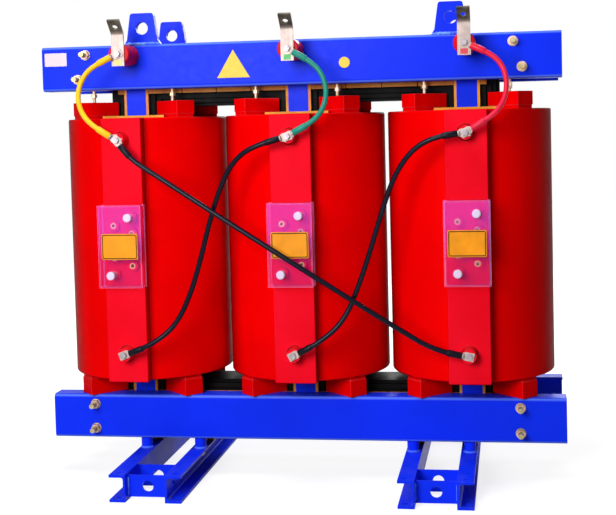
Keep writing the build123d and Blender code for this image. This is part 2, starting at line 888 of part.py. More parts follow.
def busbar_terminal(limb):
    return (limbs[limb], -busbar_front, insulator_height)


cable_routes = {
    "cable_yellow": (
        busbar_terminal("left"),
        ((-469.0, 996.0), (-491.0, -234.0, 968.0), (-500.0, -241.0, 933.0), (-493.0, -248.0, 898.0),
         (-468.0, 864.0)),
        terminal("left", "top")),
    "cable_green": (
        busbar_terminal("middle"),
        ((63.0, 989.0), (85.0, -234.0, 958.0), (93.0, -241.0, 921.0), (85.0, -248.0, 884.0),
         (62.0, 856.0)),
        terminal("middle", "top")),
    "cable_red": (
        busbar_terminal("right"),
        ((468.0, 997.0), (492.0, -234.0, 969.0), (500.0, -241.0, 931.0), (493.0, -248.0, 893.0),
         (470.0, 861.0)),
        terminal("right", "top")),
    "cable_black_long": (
        terminal("left", "top", 1),
        ((-366.0, 777.0), (-325.0, -261.0, 750.0), (-250.0, -266.0, 702.0), (-124.0, -273.0, 621.0),
         (19.0, -280.0, 531.0), (150.0, -275.0, 446.0), (250.0, -264.0, 381.0), (325.0, 334.0)),
        terminal("right", "bottom")),
    "cable_black_left": (
        terminal("middle", "top", 1),
        ((-80.0, 803.0), (-127.0, -250.0, 771.0), (-160.0, -242.0, 716.0), (-190.0, -238.0, 634.0),
         (-214.0, -238.0, 545.0), (-242.0, -240.0, 457.0), (-279.0, -246.0, 385.0), (-335.0, 343.0)),
        terminal("left", "bottom")),
    "cable_black_right": (
        terminal("right", "top", 1),
        ((330.0, 814.0), (281.0, -250.0, 784.0), (242.0, -242.0, 728.0), (211.0, -238.0, 645.0),
         (184.0, -238.0, 558.0), (153.0, -240.0, 470.0), (119.0, -246.0, 396.0), (66.0, 351.0)),
        terminal("middle", "bottom")),
}


def lug_axis(centre, toward):
    """Unit direction of a lug in the XZ plane, from its bolt towards a point of the route."""
    dx, dz = toward[0] - centre[0], toward[-1] - centre[2]
    length = hypot(dx, dz)
    return dx / length, dz / length


def lug_mouth(centre, toward):
    ux, uz = lug_axis(centre, toward)
    return (centre[0] + ux * lug_barrel_end, centre[1] - lug_barrel_rise, centre[2] + uz * lug_barrel_end)


def lug_frame(centre, toward):
    """Frame on the bolt's axis with X along the lug and Z towards the front."""
    ux, uz = lug_axis(centre, toward)
    return along_front(*centre) * Rot(0, 0, degrees(atan2(uz, ux)))


def cable_lug(centre, toward):
    """Tinned lug: a flat square palm round the bolt, a neck and a barrel for the cable."""
    half, neck = lug_palm_width / 2, cable_diameter / 2
    end = lug_barrel_start + lug_barrel_overlap
    outline = Polyline((-lug_palm_end, -half), (half, -half), (end, -neck), (end, neck), (half, half),
                       (-lug_palm_end, half), close=True)
    palm = extrude(make_face(outline), lug_palm_thickness)
    palm = fillet(palm.edges().filter_by(Axis.Z).sort_by(Axis.X)[:2], lug_palm_corner)
    barrel = Location((lug_barrel_start, 0, lug_barrel_rise), (0, 90, 0)) * rod(
        cable_diameter, lug_barrel_end - lug_barrel_start)
    body = palm + barrel - rod(lug_bolt_hole, lug_palm_thickness)
    return lug_frame(centre, toward) * body


def cable_sleeve(centre, toward):
    """Shrink sleeve over the barrel and the start of the cable."""
    length = sleeve_end - sleeve_start
    body = rod(sleeve_diameter, length) - rod(cable_diameter, length)
    return lug_frame(centre, toward) * Location((sleeve_start, 0, lug_barrel_rise), (0, 90, 0)) * body


def cable_points(name):
    start, between, end = cable_routes[name]
    first, last = lug_mouth(start, between[0]), lug_mouth(end, between[-1])
    leaving = (between[0][0], first[1], between[0][1])
    arriving = (between[-1][0], last[1], between[-1][1])
    return [first, leaving, *between[1:-1], arriving, last]


def cable(name):
    """Round cable along straight runs joined by the largest arcs that the runs allow."""
    points = [Vector(*p) for p in cable_points(name)]
    runs = [b - a for a, b in zip(points, points[1:])]
    radii = []
    for before, after in zip(runs, runs[1:]):
        turn = radians(before.get_angle(after))
        radii.append(0.45 * min(before.length, after.length) / tan(turn / 2))
    path = FilletPolyline(*points, radius=radii)
    solid = sweep(Plane(origin=path @ 0, z_dir=path % 0) * Circle(cable_diameter / 2), path=path)
    section = pi * cable_diameter ** 2 / 4
    print(name, "length %.0f" % path.length, "volume ratio %.4f" % (solid.volume / (section * path.length)),
          "radii", " ".join("%.0f" % r for r in radii),
          "runs", " ".join("%.0f" % r.length for r in runs))
    print("   ends", points[0], points[-1])
    return solid


def cable_ends():
    for start, between, end in cable_routes.values():
        yield start, between[0]
        yield end, between[-1]


def washered_bolt(reach):
    """Bolt with a captive washer, whose washer sits on Z = 0 and whose shank reaches down."""
    head = Pos(0, 0, washer_thickness) * hexagon(bolt_across, bolt_head_height)
    return rod(washer_diameter, washer_thickness) + head + rod(terminal_bolt, reach, -reach)


def washered_lug_bolt(reach):
    """The smaller bolt of the cable lugs, made the same way."""
    head = Pos(0, 0, small_washer_thickness) * hexagon(small_bolt_across, small_bolt_head)
    return rod(small_washer_diameter, small_washer_thickness) + head + rod(lug_bolt, reach, -reach)


def terminal_bolts():
    """Bolts of the coil terminals and of the busbars."""
    for limb in limbs:
        for end, layers in (("top", 2), ("bottom", 1)):
            reach = layers * lug_palm_thickness + lug_bolt_reach
            yield along_front(*terminal(limb, end, layers)) * washered_lug_bolt(reach)
        x, y, z = busbar_terminal(limb)
        reach = lug_palm_thickness + busbar_thickness + lug_bolt_reach
        yield along_front(x, y - lug_palm_thickness, z) * washered_lug_bolt(reach)


# ---------------------------------------------------------------- low-voltage neutral
def neutral_lead(x):
    """Bar from the inner layer of a low-voltage coil, out under the clamp and up to the neutral bar."""
    shelf = coil_top + neutral_lead_rise
    plane = neutral_bar_plane - neutral_thickness / 2
    top = neutral_height + neutral_bar_height / 2
    points = [(neutral_lead_start, coil_top), (neutral_lead_start, shelf), (plane, shelf), (plane, top)]
    bar = bent_bar(points, neutral_lead_bend, neutral_lead_width, neutral_thickness, x)
    return bar - along_rear(x, plane - neutral_thickness / 2, neutral_height) * rod(neutral_bolt, neutral_thickness)


def neutral_riser():
    """Upright terminal bar on the rear of the neutral bar."""
    half = neutral_riser_width / 2
    near = neutral_bar_plane + neutral_thickness
    top = upper_clamp_top + neutral_riser_above_clamp
    bar = box_between((neutral_riser_place - half, near, neutral_height - neutral_bar_height / 2),
                      (neutral_riser_place + half, near + neutral_thickness, top))
    bar -= along_rear(neutral_riser_place, near, neutral_height) * rod(neutral_bolt, neutral_thickness)
    return bar - along_rear(neutral_riser_place, near, top - half) * rod(lv_bar_hole, neutral_thickness)


def neutral_lead_places():
    return [x + neutral_lead_offset for x in limbs.values()]


def neutral_bars():
    """Star point: a bar across the three coils, with a lead from each and one terminal riser."""
    cross = box_between((neutral_left, neutral_bar_plane, neutral_height - neutral_bar_height / 2),
                        (neutral_right, neutral_bar_plane + neutral_thickness, neutral_height + neutral_bar_height / 2))
    for x in [*neutral_lead_places(), neutral_riser_place]:
        cross -= along_rear(x, neutral_bar_plane, neutral_height) * rod(neutral_bolt, neutral_thickness)
    for x in standoff_places:
        cross -= along_rear(x, neutral_bar_plane, neutral_height) * rod(terminal_bolt, neutral_thickness)
    return [cross, neutral_riser(), *(neutral_lead(x) for x in neutral_lead_places())]


def neutral_joints():
    """Place of each bolted joint's head face, with the bolt size and the grip behind it."""
    face = neutral_bar_plane + neutral_thickness
    for x in neutral_lead_places():
        yield along_rear(x, face, neutral_height), neutral_bolt, 2 * neutral_thickness
    yield along_rear(neutral_riser_place, face + neutral_thickness, neutral_height), neutral_bolt, 2 * neutral_thickness
    for x in standoff_places:
        grip = neutral_thickness + neutral_standoff_length + clamp_plate
        yield along_rear(x, face, neutral_height), terminal_bolt, grip


def lv_bolts():
    """Bolts of the neutral's joints, and those that hold the phase bars on their posts."""
    for place, size, grip in neutral_joints():
        across = small_bolt_across if size == neutral_bolt else bolt_across
        yield place * hex_bolt(size, grip + size, across, neutral_bolt_head)
    for x in limbs.values():
        place = along_rear(x + lv_bar_offset, lv_bar_plane + lv_bar_thickness, lv_insulator_height)
        yield place * washered_bolt(lv_bar_thickness + terminal_bolt_reach)


def lv_nuts():
    for place, size, grip in neutral_joints():
        across = small_bolt_across if size == neutral_bolt else bolt_across
        height = neutral_nut_height if size == neutral_bolt else standoff_nut_height
        yield place * Pos(0, 0, -grip - height) * hex_nut(size, across, height)


# ---------------------------------------------------------------- all nodes
def main():
    os.makedirs("parts", exist_ok=True)
    for name, solid in core_pieces().items():
        write(name, [solid])
    for name, side in sides.items():
        write("upper_clamp_" + name, [upper_clamp(side)])
        write("lower_clamp_" + name, [lower_clamp(side)])
    bars, nuts, washers = rods()
    write("clamp_rods", bars)
    write("clamp_nuts", nuts)
    write("clamp_washers", washers)
    write("lifting_lugs", lifting_lugs())
    write("tie_plates", tie_plates())
    write("tie_plate_channels", tie_channels())
    write("yoke_boards", yoke_boards())
    for name, x in limbs.items():
        write("lv_coil_" + name, [lv_coil(x)])
        write("hv_coil_" + name, [hv_coil(x)])
        write("tap_cover_" + name, [tap_cover(x)])
        write("hv_busbar_" + name, [hv_busbar(x)])
    write("threaded_inserts", [*terminal_inserts(), *tap_inserts()])
    write("tap_links", tap_links())
    write("tap_link_bolts", tap_link_bolts())
    write("cover_studs", cover_studs())
    write("cover_nuts", cover_nuts())
    write("lower_supports", supports(lower_clamp_top, lower_support_height, coil_above=True))
    write("upper_supports", supports(coil_top, upper_support_height, coil_above=False))
    write("pressure_bolts", pressure_bolts())
    write("pressure_nuts", pressure_nuts())
    write("barrier_boards", barrier_boards())
    write("foot_channels", [foot_channel(foot, outward) for foot, outward in foot_channel_places()])
    write("foot_cross_plates", cross_plates())
    write("foot_posts", foot_posts())
    write("foot_bolts", foot_bolts())
    write("foot_nuts", foot_nuts())
    write("core_pads", core_pads())
    write("hv_insulators", hv_insulators())
    write("lv_insulators", lv_insulators())
    write("insulator_bolts", insulator_bolts())
    write("lv_busbars", lv_busbars())
    write("neutral_bars", neutral_bars())
    write("lv_bolts", lv_bolts())
    write("lv_nuts", lv_nuts())
    for name in cable_routes:
        write(name, [cable(name)])
    write("cable_lugs", [cable_lug(*end) for end in cable_ends()])
    write("cable_sleeves", [cable_sleeve(*end) for end in cable_ends()])
    write("terminal_bolts", terminal_bolts())


main()
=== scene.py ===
"""Looks of a three-phase dry type transformer with cast-resin coils. All sizes are in metres."""
import json
import random
from math import cos, pi, radians, sin

import bmesh
import bpy
from mathutils import Matrix, Vector


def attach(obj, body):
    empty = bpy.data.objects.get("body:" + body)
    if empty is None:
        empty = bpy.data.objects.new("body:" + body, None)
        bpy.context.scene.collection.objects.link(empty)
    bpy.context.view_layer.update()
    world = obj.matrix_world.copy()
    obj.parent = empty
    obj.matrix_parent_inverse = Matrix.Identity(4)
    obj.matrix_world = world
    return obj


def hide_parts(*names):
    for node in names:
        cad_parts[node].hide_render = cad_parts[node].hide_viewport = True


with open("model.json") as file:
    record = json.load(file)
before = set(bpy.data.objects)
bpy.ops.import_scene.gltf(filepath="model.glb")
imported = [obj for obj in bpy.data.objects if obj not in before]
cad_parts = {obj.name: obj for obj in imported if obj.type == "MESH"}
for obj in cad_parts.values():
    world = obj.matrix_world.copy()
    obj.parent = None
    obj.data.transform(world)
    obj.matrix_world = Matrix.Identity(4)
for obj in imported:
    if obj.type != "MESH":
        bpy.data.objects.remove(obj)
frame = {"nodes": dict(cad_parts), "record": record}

scene = bpy.context.scene
nodes = frame["nodes"]
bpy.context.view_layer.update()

LIMB_SPACING = 0.405
LIMBS = {"left": -LIMB_SPACING, "middle": 0.0, "right": LIMB_SPACING}


# ---------------------------------------------------------------- camera
def place_camera():
    data = bpy.data.cameras.new("camera")
    data.sensor_fit = "HORIZONTAL"
    data.sensor_width = 36.0
    data.lens = 69.269
    data.shift_x = -0.0469
    data.shift_y = -0.1162
    data.clip_start = 0.05
    camera = bpy.data.objects.new("camera", data)
    scene.collection.objects.link(camera)
    turn = Matrix.Rotation(radians(8.399), 4, "Z") @ Matrix.Rotation(radians(87.0), 4, "X")
    roll = Matrix.Rotation(radians(-1.396), 4, "Z")
    camera.matrix_world = Matrix.Translation((0.50595, -2.91636, 0.850)) @ turn @ roll
    scene.camera = camera


place_camera()

# ---------------------------------------------------------------- faces that look to the front, as Y
CLAMP_FRONT = -0.140
PANEL_FRONT = -0.2215
BUSBAR_FRONT = -0.222
BOSS_FRONT = -0.2495
COVER_FRONT = -0.2545

# ---------------------------------------------------------------- cables
CABLE_RADIUS = 0.006
SLEEVE_RADIUS = 0.0075
# Lugs: thickness of the palm, and the barrel's axis above the palm's back and end beyond the bolt
PALM = 0.003
LUG_RISE = SLEEVE_RADIUS
BARREL_END = 0.036
# Heights of the busbars' cable bolts and of the coils' upper and lower terminals
BOLT_Z = 1.026
TOP_Z = 0.824
BOTTOM_Z = 0.317

# Each cable's first bolt, points between and last bolt. The first and last points between are (x, z) only
# and lie in the plane of the lug's barrel.
ROUTES = {
    "cable_yellow": (
        (LIMBS["left"], BUSBAR_FRONT, BOLT_Z),
        ((-0.469, 0.996), (-0.491, -0.234, 0.968), (-0.500, -0.241, 0.933), (-0.493, -0.248, 0.898),
         (-0.468, 0.864)),
        (LIMBS["left"], BOSS_FRONT, TOP_Z)),
    "cable_green": (
        (LIMBS["middle"], BUSBAR_FRONT, BOLT_Z),
        ((0.063, 0.989), (0.085, -0.234, 0.958), (0.093, -0.241, 0.921), (0.085, -0.248, 0.884),
         (0.062, 0.856)),
        (LIMBS["middle"], BOSS_FRONT, TOP_Z)),
    "cable_red": (
        (LIMBS["right"], BUSBAR_FRONT, BOLT_Z),
        ((0.468, 0.997), (0.492, -0.234, 0.969), (0.500, -0.241, 0.931), (0.493, -0.248, 0.893),
         (0.470, 0.861)),
        (LIMBS["right"], BOSS_FRONT, TOP_Z)),
    "cable_black_long": (
        (LIMBS["left"], BOSS_FRONT - PALM, TOP_Z),
        ((-0.366, 0.777), (-0.325, -0.261, 0.750), (-0.250, -0.266, 0.702), (-0.124, -0.273, 0.621),
         (0.019, -0.280, 0.531), (0.150, -0.275, 0.446), (0.250, -0.264, 0.381), (0.325, 0.334)),
        (LIMBS["right"], BOSS_FRONT, BOTTOM_Z)),
    "cable_black_left": (
        (LIMBS["middle"], BOSS_FRONT - PALM, TOP_Z),
        ((-0.080, 0.803), (-0.127, -0.250, 0.771), (-0.160, -0.242, 0.716), (-0.190, -0.238, 0.634),
         (-0.214, -0.238, 0.545), (-0.242, -0.240, 0.457), (-0.279, -0.246, 0.385), (-0.335, 0.343)),
        (LIMBS["left"], BOSS_FRONT, BOTTOM_Z)),
    "cable_black_right": (
        (LIMBS["right"], BOSS_FRONT - PALM, TOP_Z),
        ((0.330, 0.814), (0.281, -0.250, 0.784), (0.242, -0.242, 0.728), (0.211, -0.238, 0.645),
         (0.184, -0.238, 0.558), (0.153, -0.240, 0.470), (0.119, -0.246, 0.396), (0.066, 0.351)),
        (LIMBS["middle"], BOSS_FRONT, BOTTOM_Z)),
}
CABLE_LENGTHS = {
    "cable_yellow": 0.223,
    "cable_green": 0.221,
    "cable_red": 0.226,
    "cable_black_long": 0.892,
    "cable_black_left": 0.629,
    "cable_black_right": 0.627,
}


def lug_axis(bolt, toward):
    """Unit direction of a lug in the XZ plane, from its bolt towards a point of the route."""
    return Vector((toward[0] - bolt[0], 0.0, toward[-1] - bolt[2])).normalized()


def lug_mouth(bolt, toward):
    """Where the cable leaves the lug's barrel."""
    return Vector(bolt) + Vector((0.0, -LUG_RISE, 0.0)) + lug_axis(bolt, toward) * BARREL_END


def route_points(name):
    start, between, end = ROUTES[name]
    first, last = lug_mouth(start, between[0]), lug_mouth(end, between[-1])
    leaving = (between[0][0], first.y, between[0][1])
    arriving = (between[-1][0], last.y, between[-1][1])
    return [tuple(first), leaving, *between[1:-1], arriving, tuple(last)]


def nurbs_curve(name, points, bevel):
    curve = bpy.data.curves.new(name, "CURVE")
    curve.dimensions = "3D"
    spline = curve.splines.new("NURBS")
    spline.points.add(len(points) - 1)
    for control, point in zip(spline.points, points):
        control.co = (*point, 1.0)
    spline.order_u = 3
    spline.use_endpoint_u = True
    spline.resolution_u = 14
    curve.bevel_depth = bevel
    curve.bevel_resolution = 6
    curve.use_fill_caps = bevel > 0
    obj = bpy.data.objects.new(name, curve)
    scene.collection.objects.link(obj)
    return obj


def spline_line(points):
    """Points along a cable's spline, read from the curve with no bevel."""
    bare = nurbs_curve("bare_line", points, 0.0)
    bpy.context.view_layer.update()
    mesh = bpy.data.meshes.new_from_object(bare)
    line = [v.co.copy() for v in mesh.vertices]
    bpy.data.meshes.remove(mesh)
    curve = bare.data
    bpy.data.objects.remove(bare)
    bpy.data.curves.remove(curve)
    return line


# ---------------------------------------------------------------- materials
# Post insulators: the groove's place along Y and half its width
GROOVE_Y = -0.198
GROOVE_HALF = 0.0016
# Busbars: height at which the tilted tongue starts
TONGUE_Z = 1.068
# Tap covers: lower edge and height
COVER_BOTTOM = 0.477
COVER_HEIGHT = 0.194
# Low-voltage coils: one turn of foil and paper
FOIL_PITCH = 0.0016
# Noise scales along X, Y and Z that draw streaks along Z on rolled metal
BRUSHING = (260.0, 260.0, 12.0)


def srgb(red, green, blue):
    """Linear colour from 8-bit display values."""
    def channel(value):
        value /= 255.0
        return value / 12.92 if value <= 0.04045 else ((value + 0.055) / 1.055) ** 2.4
    return (channel(red), channel(green), channel(blue), 1.0)


def scaled(colour, factor):
    return (*(min(1.0, c * factor) for c in colour[:3]), 1.0)


class Nodes:
    """Small helper round one material's node tree."""

    def __init__(self, name):
        self.material = bpy.data.materials.new(name)
        self.material.use_nodes = True
        self.tree = self.material.node_tree
        self.shader = self.tree.nodes["Principled BSDF"]

    def add(self, kind, **values):
        node = self.tree.nodes.new(kind)
        for key, value in values.items():
            setattr(node, key, value)
        return node

    def link(self, source, target):
        self.tree.links.new(source, target)

    def coords(self, scale=(1.0, 1.0, 1.0)):
        source = self.add("ShaderNodeTexCoord")
        mapping = self.add("ShaderNodeMapping")
        mapping.inputs["Scale"].default_value = scale
        self.link(source.outputs["Object"], mapping.inputs["Vector"])
        return mapping.outputs["Vector"]

    def position(self, axis):
        """One coordinate of the point on the surface."""
        split = self.add("ShaderNodeSeparateXYZ")
        self.link(self.coords(), split.inputs[0])
        return split.outputs[axis]

    def upward(self):
        """How far the surface looks up, from -1 to 1."""
        geometry = self.add("ShaderNodeNewGeometry")
        split = self.add("ShaderNodeSeparateXYZ")
        self.link(geometry.outputs["Normal"], split.inputs[0])
        return split.outputs["Z"]

    def noise(self, scale, detail=3.0, rough=0.55, vector=None):
        node = self.add("ShaderNodeTexNoise")
        node.inputs["Scale"].default_value = scale
        node.inputs["Detail"].default_value = detail
        node.inputs["Roughness"].default_value = rough
        self.link(vector or self.coords(), node.inputs["Vector"])
        return node.outputs["Fac"]

    def wave(self, scale, axis, distortion=0.0, profile="SIN"):
        node = self.add("ShaderNodeTexWave", wave_type="BANDS", bands_direction=axis, wave_profile=profile)
        node.inputs["Scale"].default_value = scale
        node.inputs["Distortion"].default_value = distortion
        self.link(self.coords(), node.inputs["Vector"])
        return node.outputs["Fac"]

    def ramp(self, value, stops):
        node = self.add("ShaderNodeValToRGB")
        elements = node.color_ramp.elements
        while len(elements) < len(stops):
            elements.new(0.5)
        for element, (place, colour) in zip(elements, stops):
            element.position = place
            element.color = colour if isinstance(colour, tuple) else (colour, colour, colour, 1.0)
        self.link(value, node.inputs["Fac"])
        return node.outputs["Color"]

    def mix(self, factor, one, two):
        node = self.add("ShaderNodeMix", data_type="RGBA")
        for value, socket in ((factor, node.inputs[0]), (one, node.inputs[6]), (two, node.inputs[7])):
            if isinstance(value, (tuple, float, int)):
                socket.default_value = value
            else:
                self.link(value, socket)
        return node.outputs[2]

    def maths(self, operation, one, two=0.0, clamp=False):
        node = self.add("ShaderNodeMath", operation=operation, use_clamp=clamp)
        for value, socket in ((one, node.inputs[0]), (two, node.inputs[1])):
            if isinstance(value, (float, int)):
                socket.default_value = value
            else:
                self.link(value, socket)
        return node.outputs[0]

    def bumps(self, *layers):
        """Chain of bump layers, each (height, strength, distance)."""
        normal = None
        for height, strength, distance in layers:
            node = self.add("ShaderNodeBump")
            node.inputs["Strength"].default_value = strength
            node.inputs["Distance"].default_value = distance
            self.link(height, node.inputs["Height"])
            if normal:
                self.link(normal, node.inputs["Normal"])
            normal = node.outputs["Normal"]
        self.link(normal, self.shader.inputs["Normal"])

    def edge_mask(self, radius, low=0.02, high=0.22):
        """White where the surface turns over within the radius."""
        bevel = self.add("ShaderNodeBevel", samples=4)
        bevel.inputs["Radius"].default_value = radius
        geometry = self.add("ShaderNodeNewGeometry")
        dot = self.add("ShaderNodeVectorMath", operation="DOT_PRODUCT")
        self.link(bevel.outputs["Normal"], dot.inputs[0])
        self.link(geometry.outputs["True Normal"], dot.inputs[1])
        turned = self.maths("SUBTRACT", 1.0, dot.outputs["Value"], clamp=True)
        return self.ramp(turned, ((low, 0.0), (high, 1.0)))

    def facing_up(self):
        """White on faces that look up, where dust settles."""
        return self.ramp(self.upward(), ((0.55, 0.0), (0.95, 1.0)))

    def slanting(self):
        """White where the surface looks half up or half down, as on the outside of a bend."""
        tilt = self.maths("ABSOLUTE", self.upward())
        return self.ramp(tilt, ((0.2, 0.0), (0.55, 1.0), (0.75, 1.0), (0.96, 0.0)))

    def colour(self, value):
        socket = self.shader.inputs["Base Color"]
        if isinstance(value, tuple):
            socket.default_value = value
        else:
            self.link(value, socket)

    def roughness(self, value, low, high):
        self.link(self.ramp(value, ((0.25, low), (0.75, high))), self.shader.inputs["Roughness"])

    def set(self, **values):
        for key, value in values.items():
            self.shader.inputs[key.replace("_", " ")].default_value = value


def cast_resin():
    """Red cast resin: cloudy, with faint runs, painted pinker sheen on the front panel, painted highlights
    along the edges and painted shade on the flanks that turn from view.
    """
    m = Nodes("cast_resin")
    base = srgb(236, 0, 2)
    cloud = m.noise(5.0, 4.0)
    tint = m.ramp(cloud, ((0.3, scaled(base, 0.88)), (0.7, scaled(base, 1.04))))
    runs = m.noise(1.0, 3.0, 0.5, m.coords((38.0, 38.0, 1.6)))
    tint = m.mix(m.ramp(runs, ((0.55, 0.0), (0.85, 0.22))), tint, srgb(214, 0, 4))
    # Painted sheen: the front panel's faces are painted pinker and lighter, in place of the front light's
    # reflection.
    panel_sheen_mask = m.maths("LESS_THAN", m.position("Y"), PANEL_FRONT + 0.0005)
    panel = m.mix(m.ramp(cloud, ((0.35, 0.0), (0.7, 1.0))), srgb(238, 10, 30), srgb(246, 18, 42))
    tint = m.mix(panel_sheen_mask, tint, panel)
    dust = m.maths("MULTIPLY", m.facing_up(), m.ramp(m.noise(30.0), ((0.35, 0.02), (0.75, 0.14))))
    # Painted highlight: a pale pink line along the edges, in place of light caught on them.
    edge_highlight = m.maths("MULTIPLY", m.edge_mask(0.0022, 0.03, 0.16), 0.5)
    tint = m.mix(edge_highlight, tint, srgb(255, 84, 96))
    # Painted shade: the colour turns dark red where the surface turns away from view, in place of the
    # flanks' shade.
    layer = m.add("ShaderNodeLayerWeight")
    layer.inputs["Blend"].default_value = 0.5
    tint = m.mix(m.ramp(layer.outputs["Facing"], ((0.5, 0.0), (0.92, 0.85))), tint, srgb(84, 0, 1))
    m.colour(m.mix(dust, tint, srgb(196, 90, 84)))
    m.roughness(m.noise(42.0, 5.0, 0.7), 0.34, 0.5)
    m.set(Specular_IOR_Level=0.012)
    m.bumps((m.noise(9.0, 2.0), 0.35, 0.0016), (m.noise(260.0, 2.0), 0.16, 0.0003),
            (runs, 0.12, 0.0006))
    return m.material


def frame_paint():
    """Blue enamel on steel, rubbed at the edges, with a painted highlight on bends and slightly dusty on
    top.
    """
    m = Nodes("frame_paint")
    base = srgb(16, 50, 252)
    tint = m.ramp(m.noise(4.0, 4.0), ((0.3, scaled(base, 0.86)), (0.7, scaled(base, 1.06))))
    rubbed = m.ramp(m.noise(55.0, 4.0, 0.7), ((0.5, 0.0), (0.72, 0.75)))
    tint = m.mix(m.maths("MULTIPLY", m.edge_mask(0.0012), rubbed), tint, srgb(150, 165, 235))
    # Painted highlight: faces that look half up or half down, as on the bends, are painted lighter blue in
    # place of light caught there.
    bends = m.maths("MULTIPLY", m.slanting(), 0.6)
    tint = m.mix(bends, tint, srgb(104, 144, 255))
    dust = m.maths("MULTIPLY", m.facing_up(), m.ramp(m.noise(24.0), ((0.4, 0.0), (0.75, 0.07))))
    m.colour(m.mix(dust, tint, srgb(150, 160, 205)))
    m.roughness(m.noise(60.0, 5.0, 0.7), 0.24, 0.42)
    m.set(Specular_IOR_Level=0.05)
    m.bumps((m.noise(14.0, 2.0), 0.25, 0.0012), (m.noise(420.0, 2.0), 0.22, 0.00022))
    return m.material


def weld_paint():
    """Paint over weld beads, clouded at random from deep to light blue."""
    m = Nodes("weld_paint")
    ripple = m.noise(420.0, 2.0)
    cloud = m.noise(50.0, 3.0)
    m.colour(m.ramp(cloud, ((0.35, srgb(28, 66, 240)), (0.65, srgb(120, 176, 254)))))
    m.roughness(ripple, 0.3, 0.5)
    m.set(Specular_IOR_Level=0.25)
    m.bumps((ripple, 0.4, 0.0006),)
    return m.material


def core_varnish():
    """Black varnish over the edges of the core's stacked sheets."""
    m = Nodes("core_varnish")
    sheets = m.noise(1.0, 2.0, 0.6, m.coords((3.0, 1400.0, 3.0)))
    film = m.noise(16.0, 4.0)
    tint = m.ramp(film, ((0.3, srgb(2, 2, 3)), (0.75, srgb(9, 8, 9))))
    lines = m.ramp(sheets, ((0.5, 0.0), (0.78, 0.45)))
    m.colour(m.mix(lines, tint, srgb(28, 25, 24)))
    m.roughness(film, 0.4, 0.65)
    m.set(Specular_IOR_Level=0.06)
    m.bumps((sheets, 0.5, 0.0006), (m.noise(120.0, 3.0), 0.2, 0.0004))
    return m.material


def laminate_board(name, dark, light, thread):
    """Insulating board with a fine weave."""
    m = Nodes(name)
    warp = m.wave(190.0, "X", distortion=0.6)
    weft = m.wave(190.0, "Z", distortion=0.6)
    weave = m.maths("MULTIPLY", warp, weft)
    cloud = m.noise(26.0, 4.0)
    tint = m.ramp(cloud, ((0.3, dark), (0.75, light)))
    m.colour(m.mix(m.ramp(weave, ((0.2, 0.0), (0.9, 0.35))), tint, thread))
    m.roughness(m.noise(80.0), 0.38, 0.6)
    m.set(Specular_IOR_Level=0.25)
    m.bumps((weave, 0.3, 0.00025), (cloud, 0.2, 0.0005))
    return m.material


def winding_varnish():
    """Amber varnish outside; fine rings of foil and paper where the coil's end shows."""
    m = Nodes("winding_varnish")
    x, y = m.position("X"), m.position("Y")
    limb = m.maths("ROUND", m.maths("DIVIDE", x, LIMB_SPACING))
    across = m.maths("SUBTRACT", x, m.maths("MULTIPLY", limb, LIMB_SPACING))
    square = m.maths("ADD", m.maths("MULTIPLY", across, across), m.maths("MULTIPLY", y, y))
    rings = m.maths("SINE", m.maths("MULTIPLY", m.maths("SQRT", square), 2 * pi / FOIL_PITCH))
    ends = m.facing_up()
    cloud = m.noise(22.0, 4.0)
    outside = m.ramp(cloud, ((0.3, srgb(92, 52, 24)), (0.75, srgb(148, 92, 44))))
    foil = m.ramp(rings, ((0.35, srgb(70, 44, 26)), (0.7, srgb(176, 150, 118))))
    m.colour(m.mix(ends, outside, foil))
    m.roughness(m.noise(50.0), 0.25, 0.5)
    m.bumps((m.maths("MULTIPLY", rings, ends), 0.3, 0.0003), (cloud, 0.2, 0.0008))
    return m.material


def clear_cover():
    """Clear plastic with a magenta tint that thickens upward, lightened higher up as painted sheen, and
    painted pale highlights along its edges.
    """
    m = Nodes("clear_cover")
    # The tint thickens upward, lightened higher up as painted sheen in place of reflected light.
    height = m.maths("DIVIDE", m.maths("SUBTRACT", m.position("Z"), COVER_BOTTOM), COVER_HEIGHT)
    cloud = m.maths("SUBTRACT", m.noise(14.0, 3.0), 0.5)
    haze_and_sheen = m.maths("ADD", height, m.maths("MULTIPLY", cloud, 0.4))
    # Painted highlight: pale pink along the edges in place of light caught in the rims, which are also made
    # denser.
    rim = m.edge_mask(0.0022)
    tint = m.ramp(haze_and_sheen, ((0.3, srgb(214, 36, 170)), (0.7, srgb(250, 84, 250))))
    m.colour(m.mix(rim, tint, srgb(255, 176, 238)))
    veil = m.ramp(haze_and_sheen, ((0.3, 0.1), (0.7, 0.17)))
    m.link(m.mix(rim, veil, (0.85, 0.85, 0.85, 1.0)), m.shader.inputs["Alpha"])
    m.set(Specular_IOR_Level=0.6)
    m.roughness(m.noise(18.0, 3.0), 0.05, 0.14)
    m.bumps((m.noise(12.0, 2.0), 0.15, 0.0006), (m.noise(300.0, 2.0), 0.05, 0.0001))
    return m.material


def insulator_resin():
    """Glossy cast resin of the high-voltage posts, with a groove near the front end, pressed in by a bump
    and painted near black as its shade.
    """
    m = Nodes("insulator_resin")
    away = m.maths("ABSOLUTE", m.maths("SUBTRACT", m.position("Y"), GROOVE_Y))
    groove = m.maths("LESS_THAN", away, GROOVE_HALF)
    tint = m.ramp(m.noise(20.0, 4.0), ((0.3, srgb(184, 2, 16)), (0.7, srgb(222, 12, 34))))
    # Painted shade: the groove is painted near black.
    m.colour(m.mix(groove, tint, srgb(50, 0, 6)))
    m.roughness(m.noise(60.0, 4.0), 0.24, 0.36)
    m.set(Specular_IOR_Level=0.06)
    m.bumps((groove, 0.6, 0.001), (m.noise(30.0, 3.0), 0.15, 0.0006))
    return m.material


